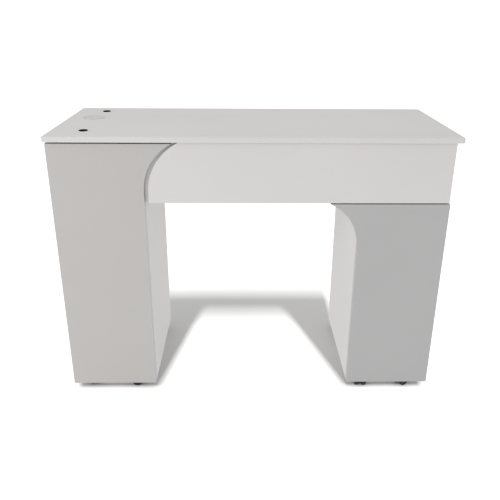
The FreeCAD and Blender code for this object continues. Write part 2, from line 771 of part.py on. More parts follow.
# ---------------------------------------------------------------- pulls
def bow_pull(name, centre, upright):
    """A round-bar bow pull with its two screws; local X joins the feet and Y points outwards."""
    half, reach, bend = dims.pull_spacing / 2, dims.pull_reach, dims.pull_bend
    body = doc.addObject("PartDesign::Body", name + "_bow")
    path = new_sketch(body, name + "_path", "XY_Plane")
    h, out, b = half.value, reach.value, bend.value
    left = path.addGeometry(Part.LineSegment(Vector(-h, 0, 0), Vector(-h, out - b, 0)))
    turn_in = path.addGeometry(Part.ArcOfCircle(
        Part.Circle(Vector(-h + b, out - b, 0), Vector(0, 0, 1), b), math.pi / 2, math.pi))
    bar = path.addGeometry(Part.LineSegment(Vector(-h + b, out, 0), Vector(h - b, out, 0)))
    turn_out = path.addGeometry(Part.ArcOfCircle(
        Part.Circle(Vector(h - b, out - b, 0), Vector(0, 0, 1), b), 0, math.pi / 2))
    right = path.addGeometry(Part.LineSegment(Vector(h, out - b, 0), Vector(h, 0, 0)))
    for rule in (
            ("Tangent", left, 2, turn_in, 2), ("Tangent", turn_in, 1, bar, 1),
            ("Tangent", bar, 2, turn_out, 2), ("Tangent", turn_out, 1, right, 1),
            ("Vertical", left), ("Horizontal", bar), ("Vertical", right)):
        path.addConstraint(Sketcher.Constraint(*rule))
    hold_point(path, left, 1, -half, ZERO)
    hold_point(path, right, 2, half, ZERO)
    hold(path, "DistanceY", reach, -1, 1, bar, 1)
    hold(path, "Radius", bend, turn_in)
    section = new_sketch(body, name + "_section", "XZ_Plane")
    section.addGeometry(Part.Circle(Vector(-h, 0, 0), Vector(0, 0, 1), dims.pull_radius.value))
    hold_point(section, 0, 3, -half, ZERO)
    hold(section, "Radius", dims.pull_radius, 0)
    pipe = body.newObject("PartDesign::AdditivePipe", name + "_pipe")
    pipe.Profile = section
    pipe.Spine = (path, ["Edge%d" % number for number in range(1, 6)])

    depth = dims.board + dims.pull_thread_depth
    screws = [screw("%s_screw_%s" % (name, foot), (place, -dims.board, ZERO), "+y",
                    (dims.pull_screw_head, dims.pull_screw_head_height), (dims.pull_thread, depth))
              for foot, place in (("a", -half), ("b", half))]
    bow = drilled(name + "_tapped", body, screws)
    pull = group(name + "_set", [bow] + screws)
    rotation = Rotation(Vector(0, 1, 0), 90) if upright else Rotation()
    node(name, put(pull, centre, rotation))
    holes = group(name + "_holes", screws)
    return put(holes, centre, rotation)


# ---------------------------------------------------------------- drawers
slide_members = []


def slide_channel(name, x_open, x_web, y_span, level, height):
    """A channel section: its web at x_web, its two flanges reaching to x_open."""
    sheet_metal = dims.slide_sheet
    half = height / 2
    low, high = (x_web, x_open) if x_web.value < x_open.value else (x_open, x_web)
    solid = block(name + "_solid", (low, high), y_span, (level - half, level + half))
    if x_web.value < x_open.value:
        hollow_x = (x_web + sheet_metal, x_open + 1)
    else:
        hollow_x = (x_open - 1, x_web - sheet_metal)
    hollow = block(name + "_hollow", hollow_x, (y_span[0] - 1, y_span[1] + 1),
                   (level - half + sheet_metal, level + half - sheet_metal))
    return drilled(name, solid, [hollow])


def make_drawer(name, bay, front_x, front_z, box_bottom, box_height):
    """A drawer that opens along +Y: front, four-board box, pull and the moving slide members."""
    x0, x1 = bay[0] + dims.slide_space, bay[1] - dims.slide_space
    y0, y1 = FRONTS_BACK - dims.box_length, FRONTS_BACK
    z0, z1 = box_bottom, box_bottom + box_height
    wall = dims.box_board

    pull_at = ((front_x[0] + front_x[1]) / 2, FRONTS_FACE, (front_z[0] + front_z[1]) / 2)
    holes = bow_pull(name + "_pull", pull_at, False)
    board = block(name + "_front_board", front_x, (FRONTS_BACK, FRONTS_FACE), front_z)
    node(name + "_front", drilled(name + "_front_drilled", board, [holes]))

    floor_z = (z0 + dims.box_floor_lift, z0 + dims.box_floor_lift + dims.box_floor)
    floor = block(name + "_floor", (x0 + wall - dims.floor_groove, x1 - wall + dims.floor_groove),
                  (y0, y1), floor_z)
    back = block(name + "_back", (x0 + wall, x1 - wall), (y0, y0 + wall), (floor_z[1], z1))
    sides = []
    for hand, span in (("left", (x0, x0 + wall)), ("right", (x1 - wall, x1))):
        side = block("%s_side_%s" % (name, hand), span, (y0, y1), (z0, z1))
        sides.append(drilled("%s_side_%s_grooved" % (name, hand), side, [floor]))
    node(name + "_box", group(name + "_box_set", sides + [back, floor]))

    level = z0 + dims.slide_height
    inner_height = dims.slide_height - dims.slide_sheet * 2 - dims.slide_play * 2
    run = (y0 + dims.slide_back_margin, CARCASS_BACK - dims.slide_front_margin)
    moving = []
    for hand, wall_x, inward, box_x in (("left", bay[0], 1, x0), ("right", bay[1], -1, x1)):
        slide_members.append(slide_channel(
            "%s_rail_%s" % (name, hand), wall_x + dims.slide_depth * inward, wall_x, run, level,
            dims.slide_height))
        moving.append(slide_channel(
            "%s_runner_%s" % (name, hand), box_x - dims.slide_depth * inward, box_x, run, level,
            inner_height))
    node(name + "_slides", group(name + "_slide_set", moving))


def make_drawers():
    gap = dims.front_gap
    upper_z = (APRON_BOTTOM + gap, SLAB_UNDER - gap * 2)
    column_x = (RIGHT_IN + gap, RIGHT_OUT - gap)
    make_drawer("centre_drawer", (LEFT_IN, RIGHT_IN), (LEFT_IN + gap, RIGHT_IN - gap), upper_z,
                APRON_FLOOR + dims.box_lift, dims.shallow_box)
    make_drawer("top_drawer", (PARTITION_RIGHT, BAY_RIGHT), (column_x[0], APRON_END - gap), upper_z,
                APRON_FLOOR + dims.box_lift, dims.shallow_box)
    bay = (RIGHT_IN + dims.board, RIGHT_OUT - dims.board)
    middle = (dims.skirt_height + APRON_BOTTOM) / 2
    make_drawer("middle_drawer", bay, column_x, (middle + gap, APRON_BOTTOM - gap),
                middle + dims.box_lift, dims.deep_box)
    make_drawer("bottom_drawer", bay, column_x, (dims.skirt_height + gap, middle - gap),
                BOARD_TOP + dims.box_lift, dims.deep_box)
    node("drawer_rails", group("drawer_rail_set", slide_members))


# ---------------------------------------------------------------- cabinet door
HINGE_X = LEFT_OUT - dims.knuckle_radius
HINGE_Y = CARCASS_BACK + dims.front_gap / 2


def hinge_leaf(name, level, on_door):
    """One leaf of a butt hinge with its share of the five knuckles.

    The cabinet's leaf carries the pin; the door's knuckles turn on it with a little play.
    """
    length, radius = dims.hinge_length, dims.knuckle_radius
    pitch = length / 5
    low = level - length / 2
    if on_door:
        leaf_y = (FRONTS_BACK - dims.leaf_thickness, FRONTS_BACK)
        turns = (1, 3)
    else:
        leaf_y = (CARCASS_BACK, CARCASS_BACK + dims.leaf_thickness)
        turns = (0, 2, 4)
    root = HINGE_X + radius + dims.leaf_root
    pieces = [block(name + "_plate", (root, HINGE_X + radius + dims.leaf_width), leaf_y,
                    (low, low + length))]
    for turn in turns:
        start = low + pitch * turn + dims.knuckle_play
        height = pitch - dims.knuckle_play * 2
        pieces.append(rod("%s_knuckle%d" % (name, turn), (HINGE_X, HINGE_Y, start), "+z",
                          radius, height))
        pieces.append(block("%s_tab%d" % (name, turn), (HINGE_X, root + dims.tab_overlap), leaf_y,
                            (start, start + height)))
    if not on_door:
        pieces.append(rod(name + "_pin", (HINGE_X, HINGE_Y, low), "+z", dims.hinge_pin_radius, length))
        return fused(name, pieces)
    bore = rod(name + "_bore", (HINGE_X, HINGE_Y, low - 1), "+z",
               dims.hinge_pin_radius + dims.hinge_play, length + 2)
    return drilled(name, fused(name + "_blank", pieces), [bore])


def make_door():
    gap = dims.front_gap
    x_span = (LEFT_OUT + gap, LEFT_IN - gap)
    z_span = (dims.skirt_height + gap, SLAB_UNDER - gap * 2)
    pull_at = (x_span[1] - dims.door_pull_inset, FRONTS_FACE, (z_span[0] + z_span[1]) / 2)
    holes = bow_pull("door_pull", pull_at, True)
    panel = block("door_board", x_span, (FRONTS_BACK, FRONTS_FACE), z_span)
    node("door_panel", drilled("door_drilled", panel, [holes]))

    levels = (("low", z_span[0] + dims.hinge_margin), ("high", z_span[1] - dims.hinge_margin))
    node("cabinet_hinge_leaves", group("cabinet_leaf_set", [
        hinge_leaf("cabinet_leaf_" + name, level, False) for name, level in levels]))

    catch_x = (LEFT_IN - dims.board - dims.catch_width, LEFT_IN - dims.board)
    catch_z = (SLAB_UNDER - dims.catch_drop, SLAB_UNDER - dims.catch_drop + dims.catch_length)
    catch_face = CARCASS_BACK - dims.catch_gap
    node("magnetic_catch", block(
        "catch_block", catch_x, (catch_face - dims.catch_width, catch_face), catch_z))
    strike = block("strike", (catch_x[0] - dims.catch_gap, catch_x[1] - dims.catch_gap),
                   (FRONTS_BACK - dims.strike_thickness, FRONTS_BACK),
                   (catch_z[0] + dims.strike_margin, catch_z[1] - dims.strike_margin))
    leaves = [hinge_leaf("door_leaf_" + name, level, True) for name, level in levels]
    node("door_fittings", group("door_fitting_set", leaves + [strike]))


# ---------------------------------------------------------------- build and write
def check_document():
    doc.recompute()
    for thing in doc.Objects:
        if "Invalid" in thing.State or "Error" in thing.State:
            raise RuntimeError("%s: %s" % (thing.Name, thing.State))
    for label, thing in nodes.items():
        shape = thing.Shape
        if shape.isNull() or not shape.isValid() or not shape.Solids:
            raise RuntimeError("%s has no valid solid" % label)
        loose = len(shape.Faces) - sum(len(solid.Faces) for solid in shape.Solids)
        if loose:
            raise RuntimeError("%s has %d faces outside its solids" % (label, loose))


def write_nodes():
    os.makedirs("parts", exist_ok=True)
    for label, thing in nodes.items():
        thing.Shape.exportStep(os.path.join("parts", label + ".step"))
        box = thing.Shape.BoundBox
        print("%-32s %2d solids  X %7.1f %7.1f  Y %7.1f %7.1f  Z %6.1f %6.1f" % (
            label, len(thing.Shape.Solids), box.XMin, box.XMax, box.YMin, box.YMax, box.ZMin, box.ZMax))
    print(len(nodes), "nodes")


make_tabletop()
make_grommets()
make_client_side()
make_carcass()
for caster_name, caster_x, caster_y in caster_places():
    make_caster(caster_name, caster_x, caster_y)
make_drawers()
make_door()
check_document()
write_nodes()
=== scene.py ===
import json
import math

import bpy
from mathutils import Matrix, Vector


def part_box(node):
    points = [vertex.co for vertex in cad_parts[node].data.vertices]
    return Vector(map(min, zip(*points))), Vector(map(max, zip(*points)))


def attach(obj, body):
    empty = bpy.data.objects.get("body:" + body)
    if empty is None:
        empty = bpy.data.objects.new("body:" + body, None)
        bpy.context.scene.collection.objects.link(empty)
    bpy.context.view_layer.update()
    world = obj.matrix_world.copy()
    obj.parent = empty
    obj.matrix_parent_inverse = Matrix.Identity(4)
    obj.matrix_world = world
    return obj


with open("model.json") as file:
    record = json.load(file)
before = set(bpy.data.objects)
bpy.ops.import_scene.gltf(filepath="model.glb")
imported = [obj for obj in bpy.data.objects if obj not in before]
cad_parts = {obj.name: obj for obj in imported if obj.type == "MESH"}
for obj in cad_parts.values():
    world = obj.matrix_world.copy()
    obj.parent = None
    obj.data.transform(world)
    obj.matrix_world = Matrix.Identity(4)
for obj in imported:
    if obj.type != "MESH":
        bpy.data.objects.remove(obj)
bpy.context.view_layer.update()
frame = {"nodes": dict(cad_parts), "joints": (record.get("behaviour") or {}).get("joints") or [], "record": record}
NODES = frame["nodes"]
MM = 0.001


# ---------------------------------------------------------------- node-tree helpers
class Shader:
    """Builds up one procedural material, node by node."""

    def __init__(self, material):
        self.material = material
        self.tree = material.node_tree
        self.surface = self.tree.nodes["Principled BSDF"]
        self.place = self.tree.nodes.new("ShaderNodeTexCoord").outputs["Object"]

    @classmethod
    def new(cls, name):
        material = bpy.data.materials.new(name)
        material.use_nodes = True
        return cls(material)

    def node(self, kind, **values):
        """Adds a node; a value goes to the node's own setting of that name, or else to its input."""
        made = self.tree.nodes.new(kind)
        for key, value in values.items():
            if hasattr(made, key):
                setattr(made, key, value)
            else:
                made.inputs[key.replace("_", " ")].default_value = value
        return made

    def link(self, source, target):
        self.tree.links.new(source, target)

    def feed(self, source, target):
        """Gives an input a socket's output, a colour or a number."""
        if isinstance(source, bpy.types.NodeSocket):
            self.link(source, target)
        elif isinstance(source, tuple):
            target.default_value = (*source, 1.0)
        else:
            target.default_value = source

    def axes(self):
        """The X and Y of the shaded point, in metres."""
        parts = self.node("ShaderNodeSeparateXYZ")
        self.link(self.place, parts.inputs["Vector"])
        return parts.outputs["X"], parts.outputs["Y"]

    def noise(self, scale, detail=2.0, roughness=0.5, stretch=None):
        texture = self.node("ShaderNodeTexNoise", Scale=scale, Detail=detail, Roughness=roughness)
        where = self.place
        if stretch:
            mapping = self.node("ShaderNodeMapping", Scale=stretch)
            self.link(where, mapping.inputs["Vector"])
            where = mapping.outputs["Vector"]
        self.link(where, texture.inputs["Vector"])
        return texture.outputs["Fac"]

    def spread(self, source, low, high, start=0.3, end=0.7):
        """Maps the values from start to end to the range low to high, and holds them there outside."""
        ranged = self.node("ShaderNodeMapRange")
        for key, value in (("From Min", start), ("From Max", end), ("To Min", low), ("To Max", high)):
            ranged.inputs[key].default_value = value
        self.link(source, ranged.inputs["Value"])
        return ranged.outputs["Result"]

    def mix(self, share, first, second, blend="MIX"):
        """A colour between two others; each may be a socket or an (r, g, b) value."""
        mixed = self.node("ShaderNodeMix", data_type="RGBA", blend_type=blend)
        for source, key in ((share, "Factor_Float"), (first, "A_Color"), (second, "B_Color")):
            self.feed(source, next(item for item in mixed.inputs if item.identifier == key))
        return next(item for item in mixed.outputs if item.identifier == "Result_Color")

    def math(self, operation, first, second=0.0):
        made = self.node("ShaderNodeMath", operation=operation)
        self.feed(first, made.inputs[0])
        self.feed(second, made.inputs[1])
        return made.outputs[0]

    def corners(self, reach, soft=0.2, sharpness=8.0):
        """The share of painted shade: 0 on an open face; rises slowly under an overhang, and towards 1 deep in a
        gap.
        """
        shut = self.node("ShaderNodeAmbientOcclusion", samples=4, Distance=reach)
        depth = self.spread(shut.outputs["AO"], 1.0, 0.0, start=0.1, end=0.98)
        steep = self.math("POWER", depth, sharpness)
        return self.math("ADD", self.math("MULTIPLY", depth, soft), self.math("MULTIPLY", steep, 1.0 - soft))

    def edges(self, radius):
        """1 on a sharp edge, falling to 0 within the radius; read from a rounded normal."""
        rounded = self.node("ShaderNodeBevel", samples=4, Radius=radius)
        flat = self.node("ShaderNodeNewGeometry")
        dot = self.node("ShaderNodeVectorMath", operation="DOT_PRODUCT")
        self.link(rounded.outputs["Normal"], dot.inputs[0])
        self.link(flat.outputs["Normal"], dot.inputs[1])
        return self.spread(dot.outputs["Value"], 1.0, 0.0, start=0.75, end=0.999)

    def bump(self, height, strength, distance=0.2 * MM):
        bumped = self.node("ShaderNodeBump", Strength=strength, Distance=distance)
        self.link(height, bumped.inputs["Height"])
        self.link(bumped.outputs["Normal"], self.surface.inputs["Normal"])

    def set(self, **values):
        """Sets inputs of the surface shader."""
        for key, value in values.items():
            self.feed(value, self.surface.inputs[key.replace("_", " ")])


def shade(color, factor):
    return tuple(channel * factor for channel in color)


# ---------------------------------------------------------------- materials
WHITE = (0.805, 0.790, 0.780)
# The grey board's lit tone, and below it the tone it is painted towards the right end as shade.
GREY = (0.612, 0.597, 0.588)
SHADED_GREY = (0.545, 0.545, 0.547)
# Painted shade: the X span across which the grey board's tone falls from its lit grey to its shaded grey.
PAINTED_FALLOFF_SPAN = (-0.3, 0.3)
CORD_HOLES = [mount["pos_m"][:2] for mount in frame["record"]["mounts"] if mount["kind"] == "bore"]
# Radii of the painted hole shade and the painted highlight ring around each cord hole.
COLLAR_RADIUS = 12.05 * MM
FLANGE_RADIUS = 14.7 * MM


def melamine(name, color, gloss):
    """Melamine-faced board: cloudy tone, pearl-grain surface, slightly worn edges, painted shade under overhangs
    and in gaps.
    """
    made = Shader.new(name)
    cloud = made.spread(made.noise(scale=3.5, detail=3.0), 0.0, 1.0)
    fleck = made.spread(made.noise(scale=420.0), 0.0, 1.0, start=0.35, end=0.65)
    tone = made.mix(cloud, shade(color, 0.985), shade(color, 1.012))
    tone = made.mix(made.math("MULTIPLY", fleck, 0.25), tone, shade(color, 0.965))
    worn = made.math("MULTIPLY", made.edges(1.5 * MM), made.spread(made.noise(scale=60.0), 0.0, 0.5))
    tone = made.mix(worn, tone, shade(color, 0.88))
    # Painted shade: the tone sinks towards near black under overhangs and deep in gaps, from an ambient-occlusion
    # mask.
    tone = made.mix(made.corners(50 * MM), tone, shade(color, 0.18))
    rough = made.spread(cloud, gloss, gloss + 0.06, start=0.0, end=1.0)
    made.set(Base_Color=tone, Roughness=rough, IOR=1.45, Specular_IOR_Level=0.4)
    made.bump(made.noise(scale=900.0, detail=3.0, roughness=0.6), strength=0.12)
    return made.material


def steel(name, color, roughness, stretch):
    """Metal with fine drawn lines along one direction."""
    made = Shader.new(name)
    lines = made.noise(scale=240.0, detail=4.0, roughness=0.7, stretch=stretch)
    patch = made.noise(scale=22.0)
    tone = made.mix(made.spread(lines, 0.0, 1.0), shade(color, 0.9), shade(color, 1.06))
    rough = made.math("ADD", made.spread(lines, roughness - 0.05, roughness + 0.07),
                      made.spread(patch, 0.0, 0.05))
    made.set(Base_Color=tone, Metallic=1.0, Roughness=rough)
    made.bump(lines, strength=0.08)
    return made.material


def zinc(name, color):
    """Bright zinc plate: faint spangle, soft blotches, duller patches."""
    made = Shader.new(name)
    cells = made.node("ShaderNodeTexVoronoi", Scale=180.0)
    made.link(made.place, cells.inputs["Vector"])
    spangle = made.spread(cells.outputs["Distance"], 0.0, 1.0, start=0.1, end=0.6)
    blotch = made.noise(scale=35.0, detail=3.0)
    tone = made.mix(made.spread(blotch, 0.0, 1.0), shade(color, 0.86), shade(color, 1.05))
    rough = made.math("ADD", made.spread(spangle, 0.26, 0.34, start=0.0, end=1.0),
                      made.spread(blotch, 0.0, 0.1))
    made.set(Base_Color=tone, Metallic=1.0, Roughness=rough)
    made.bump(spangle, strength=0.05)
    return made.material


def moulded(name, color, roughness, grain, dust=0.0):
    """Moulded plastic with an even grain; dust greys its rubbed edges."""
    made = Shader.new(name)
    speck = made.noise(scale=700.0, detail=3.0, roughness=0.6)
    cloud = made.noise(scale=45.0)
    tone = made.mix(made.spread(cloud, 0.0, 1.0), shade(color, 0.97), shade(color, 1.03))
    if dust:
        rubbed = made.math("MULTIPLY", made.edges(1.2 * MM), dust)
        tone = made.mix(rubbed, tone, (0.25, 0.25, 0.25))
    made.set(Base_Color=tone, Roughness=made.spread(cloud, roughness - 0.05, roughness + 0.08))
    made.bump(speck, strength=grain)
    return made.material


def paint_light_falloff(material, first, second):
    """Paints light falloff on a melamine: its tone runs from a lit grey at one end of the table to a shaded grey
    at the other.
    """
    made = Shader(material)
    x, _ = made.axes()
    start, end = PAINTED_FALLOFF_SPAN
    # Painted shade: the board grows darker from the left end to the right.
    painted_falloff = made.mix(made.spread(x, 0.0, 1.0, start, end), first, second)
    base = made.surface.inputs["Base Color"]
    grain = base.links[0].from_socket
    made.link(made.mix(1.0, painted_falloff, grain, blend="MULTIPLY"), base)
    return material


def grommet_plastic():
    """White moulded rims; around each cord hole the flange is painted bright as a highlight, and the collar and
    bore are painted near black as the hole's shade.
    """
    material = moulded("grommet_plastic", (0.71, 0.71, 0.71), roughness=0.25, grain=0.05)
    made = Shader(material)
    x, y = made.axes()
    hole_shade, flange = 0.0, 0.0
    for hole_x, hole_y in CORD_HOLES:
        side = made.math("POWER", made.math("SUBTRACT", x, hole_x), 2.0)
        depth = made.math("POWER", made.math("SUBTRACT", y, hole_y), 2.0)
        reach = made.math("ADD", side, depth)
        # Painted shade: near black inside the collar radius.
        hole_shade = made.math("MAXIMUM", made.math("LESS_THAN", reach, COLLAR_RADIUS ** 2), hole_shade)
        # Painted highlight: a whiter ring out to the flange radius.
        flange = made.math("MAXIMUM", made.math("LESS_THAN", reach, FLANGE_RADIUS ** 2), flange)
    shell = made.surface.inputs["Base Color"].links[0].from_socket
    pale = made.mix(flange, shell, (0.97, 0.97, 0.97))
    made.set(Base_Color=made.mix(hole_shade, pale, (0.003, 0.003, 0.003)),
             Roughness=made.spread(hole_shade, 0.3, 0.9, start=0.0, end=1.0))
    return material


MATERIALS = {
    "white_melamine": melamine("white_melamine_face", WHITE, gloss=0.38),
    "grey_melamine": paint_light_falloff(melamine("grey_melamine_face", (1.0, 1.0, 1.0), gloss=0.36), GREY, SHADED_GREY),
    "drawer_board": melamine("drawer_board_face", (0.70, 0.69, 0.67), gloss=0.5),
    "satin_steel": steel("satin_steel_bar", (0.66, 0.66, 0.67), roughness=0.26, stretch=(0.05, 1.0, 1.0)),
    "zinc_steel": zinc("zinc_plate", (0.60, 0.61, 0.63)),
    "white_plastic": grommet_plastic(),
    "black_nylon": moulded("black_nylon_shell", (0.012, 0.012, 0.013), roughness=0.42, grain=0.15, dust=0.12),
}
BORED_BOARDS = ("_side", "_end", "_partition")
WELD_REACH = 0.01 * MM
BOARD_EASING = 0.6 * MM
EASED_ABOVE = math.radians(50)


def dress_nodes():
    """Every CAD node gets its slot's material and welded corners; boards get a small real bevel.

    Boards bored through for screws and pins keep their square edges, because a bevel would crease them.
    """
    slots = {item["node"]: item["material_slot"] for item in frame["record"]["subparts"]}
    for name, thing in NODES.items():
        slot = slots[name]
        thing.data.materials.clear()
        thing.data.materials.append(MATERIALS[slot])
        weld = thing.modifiers.new("weld", "WELD")
        weld.merge_threshold = WELD_REACH
        if ("melamine" in slot or slot == "drawer_board") and not name.endswith(BORED_BOARDS):
            bevel = thing.modifiers.new("eased_edges", "BEVEL")
            bevel.width = BOARD_EASING
            bevel.segments = 2
            bevel.limit_method = "ANGLE"
            bevel.angle_limit = EASED_ABOVE
            bevel.harden_normals = True


# ---------------------------------------------------------------- small parts
DOME_ROUNDING = 0.3 * MM


class Pieces:
    """Collects small prisms that ride on one body and share one material."""

    def __init__(self):
        self.points = []
        self.faces = []

    def prism(self, outline, centre, facing, low, high, shrink=1.0):
        """Raises an outline of (u, v) points from one height to another along a direction."""
        facing = Vector(facing)
        side = facing.cross(Vector((0, 0, 1) if abs(facing.z) < 0.5 else (1, 0, 0))).normalized()
        up = facing.cross(side)
        first, count = len(self.points), len(outline)
        for level, scale in ((low, 1.0), (high, shrink)):
            for u, v in outline:
                self.points.append(Vector(centre) + (side * u + up * v) * scale + facing * level)
        ring = range(count)
        self.faces.append([first + item for item in reversed(ring)])
        self.faces.append([first + count + item for item in ring])
        for item in ring:
            after = (item + 1) % count
            self.faces.append([first + item, first + after, first + count + after, first + count + item])

    def build(self, name, material, body, smooth=False):
        mesh = bpy.data.meshes.new(name)
        mesh.from_pydata([tuple(point) for point in self.points], [], self.faces)
        mesh.update()
        mesh.materials.append(material)
        thing = bpy.data.objects.new(name, mesh)
        bpy.context.scene.collection.objects.link(thing)
        if smooth:
            mesh.shade_smooth()
            rounding = thing.modifiers.new("rounding", "BEVEL")
            rounding.width = DOME_ROUNDING
            rounding.segments = 3
            rounding.limit_method = "ANGLE"
        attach(thing, body)


def circle(radius, count=24):
    return [(radius * math.cos(2 * math.pi * step / count), radius * math.sin(2 * math.pi * step / count))
            for step in range(count)]


def cross(reach, half):
    """The outline of a cross-shaped driver recess."""
    quarter = [(half, half), (half, reach), (-half, reach)]
    outline = []
    for _ in range(4):
        outline.extend(quarter)
        quarter = [(-v, u) for u, v in quarter]
    return outline


# Each recess: from the middle of the cross to the end of an arm, and half of an arm's width.
CARCASS_RECESS = (3.0 * MM, 0.55 * MM)
CASTER_RECESS = (2.1 * MM, 0.4 * MM)
PULL_RECESS = (2.2 * MM, 0.4 * MM)
RECESS_SKIN = 0.06 * MM
CARCASS_SCREW_MARGIN = 70 * MM
# The board that the heads lie in, the board that they hold, and the way they face along X.
CARCASS_SCREW_ROWS = (
    ("left_outer_side", "left_bottom", -1),
    ("right_outer_side", "right_bottom", 1),
    ("right_outer_side", "right_top", 1),
    ("apron_end", "apron_bottom", 1),
    ("left_inner_side", "apron_bottom", -1),
)
PLATE_SCREW_OFFSET = 14 * MM
PULL_FOOT_OFFSET = 48 * MM
PULLED_BODIES = ("centre_drawer", "top_drawer", "middle_drawer", "bottom_drawer", "door")
HINGE_SCREW_PITCH = 16 * MM
HINGE_SCREW_MARGIN = 25 * MM
HINGE_SCREW_FROM_PIN = 9.5 * MM
HINGE_LEAF_GAP = 0.15 * MM
HINGE_HEAD_RADIUS = 2.3 * MM
HINGE_HEAD_LEVELS = (-0.05 * MM, 0.1 * MM)
HINGE_HEAD_TAPER = 0.86
BUMPER_RADIUS = 4.0 * MM
BUMPER_HEIGHT = 1.35 * MM
BUMPER_TAPER = 0.72
# Where the domes stand on the board edges behind each front, as (x, z).
BUMPER_PLACES = {
    "centre_drawer": ((-0.280, 0.626), (0.276, 0.626)),
    "top_drawer": ((0.314, 0.626), (0.524, 0.626)),
    "middle_drawer": ((0.298, 0.340), (0.529, 0.340), (0.298, 0.606), (0.529, 0.606)),
    "bottom_drawer": ((0.298, 0.050), (0.529, 0.050), (0.298, 0.316), (0.529, 0.316)),
    "door": ((-0.304, 0.060), (-0.304, 0.770)),
}


def add_painted_recess_shades():
    """Painted shade: thin near-black cross sheets on the heads of the carcass, caster and pull screws, in place of
    their driver recesses.
    """
    # Painted shade: near-black colour for the hollows of the recesses.
    recess_shade = moulded("driver_recess_shadow", (0.03, 0.03, 0.032), roughness=0.6, grain=0.05)
    carcass = Pieces()
    for side, board, facing in CARCASS_SCREW_ROWS:
        side_low, side_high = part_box(side)
        board_low, board_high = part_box(board)
        face = side_high[0] if facing > 0 else side_low[0]
        level = (board_low[2] + board_high[2]) / 2
        for y in (side_low[1] + CARCASS_SCREW_MARGIN, side_high[1] - CARCASS_SCREW_MARGIN):
            carcass.prism(cross(*CARCASS_RECESS), (face, y, level), (facing, 0, 0), 0.0, RECESS_SKIN)
    plate_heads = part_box("caster_screws")[0][2]
    offsets = (-PLATE_SCREW_OFFSET, PLATE_SCREW_OFFSET)
    for joint in frame["joints"]:
        if joint["name"].endswith("_swivel"):
            x, y, _ = joint["pos_m"]
            for place in ((x + dx, y + dy, plate_heads) for dx in offsets for dy in offsets):
                carcass.prism(cross(*CASTER_RECESS), place, (0, 0, -1), 0.0, RECESS_SKIN)
    carcass.build("carcass_painted_recess_shades", recess_shade, "carcass")
    for body in PULLED_BODIES:
        low, high = (Vector(corner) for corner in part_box(body + "_pull"))
        middle = (low + high) / 2
        along = Vector((0, 0, PULL_FOOT_OFFSET)) if body == "door" else Vector((PULL_FOOT_OFFSET, 0, 0))
        heads = Pieces()
        for foot in (middle - along, middle + along):
            heads.prism(cross(*PULL_RECESS), (foot.x, low.y, foot.z), (0, -1, 0), 0.0, RECESS_SKIN)
        heads.build(body + "_painted_recess_shades", recess_shade, body)


def add_hinge_screws():
    """Three countersunk heads in each hinge leaf, nearly flush with it."""
    low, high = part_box("cabinet_hinge_leaves")
    pin_x, pin_y, _ = next(joint["pos_m"] for joint in frame["joints"] if joint["name"] == "door_hinge")
    for body, facing in (("carcass", 1), ("door", -1)):
        face = pin_y - facing * HINGE_LEAF_GAP
        heads = Pieces()
        for level in (low[2] + HINGE_SCREW_MARGIN, high[2] - HINGE_SCREW_MARGIN):
            for step in (-HINGE_SCREW_PITCH, 0.0, HINGE_SCREW_PITCH):
                place = (pin_x + HINGE_SCREW_FROM_PIN, face, level + step)
                heads.prism(circle(HINGE_HEAD_RADIUS), place, (0, facing, 0), *HINGE_HEAD_LEVELS,
                            HINGE_HEAD_TAPER)
        heads.build(body + "_hinge_screws", MATERIALS["zinc_steel"], body)


def add_bumpers():
    """Clear stick-on domes between each front and the carcass."""
    clear = moulded("clear_bumper", (0.82, 0.84, 0.85), roughness=0.12, grain=0.02)
    surface = clear.node_tree.nodes["Principled BSDF"]
    surface.inputs["Transmission Weight"].default_value = 0.75
    fronts_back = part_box("door_panel")[0][1]
    for body, places in BUMPER_PLACES.items():
        domes = Pieces()
        for x, z in places:
            place = (x, fronts_back, z)
            domes.prism(circle(BUMPER_RADIUS), place, (0, -1, 0), 0.0, BUMPER_HEIGHT, BUMPER_TAPER)
        domes.build(body + "_bumpers", clear, body, smooth=True)


# ---------------------------------------------------------------- stage, lights, camera
WORLD_LIGHT = 0.47
WORLD_SEEN = 1.05
# Painted light: the floor glows this much for rays other than the camera's, lighting the table as bounce.
FLOOR_BOUNCE = 0.36
FLOOR_GLOW = 0.85
FLOOR_REACH = 9.0
FLOOR_TONE = (0.78, 0.78, 0.78)
# The floor's painted shadow colour.
PAINTED_SHADOW_TONE = (0.42, 0.42, 0.42)
# Floor regions in metres: (x from, x to), (y from, y to), and how far their edges fade. They set painted shade: in
# the knee and foot regions the camera glow is held back so the floor's real shade shows with painted outlines, and
# the strips are coloured darker.
KNEE_SHADE = ((-0.34, 0.30), (-0.165, 0.60), 0.035)
FOOT_SHADES = (((-0.535, -0.290), (-0.170, 0.19), 0.024), ((0.300, 0.525), (-0.170, 0.19), 0.024))
# Painted shadow: thin floor strips along the pedestals' inner bottom edges, coloured darker.
PAINTED_SHADOW_STRIPS = (((-0.335, -0.309), (-0.15, 0.13), 0.006), ((0.306, 0.33), (-0.15, 0.13), 0.006))
# The y range over which the painted shade behind the table fades out.
BACK_FADE = (0.399, 0.574)
# The painted light pool between the pedestals: each side edge's x at y = 0 and its change per metre of y.
POOL_LEFT = (-0.258, 0.205)
POOL_RIGHT = (0.238, -0.307)
POOL_EDGE = (-0.012, 0.022)
POOL_BACK = (0.192, 0.370)


def zone(made, place, x_span, y_span, soft):
    """1 inside a rectangle on the floor, falling to 0 across a soft edge."""
    share = 1.0
    for along, (low, high) in zip(place, (x_span, y_span)):
        rise = made.spread(along, 0.0, 1.0, low - soft, low)
        fall = made.spread(along, 1.0, 0.0, high, high + soft)
        share = made.math("MULTIPLY", made.math("MULTIPLY", rise, fall), share)
    return share


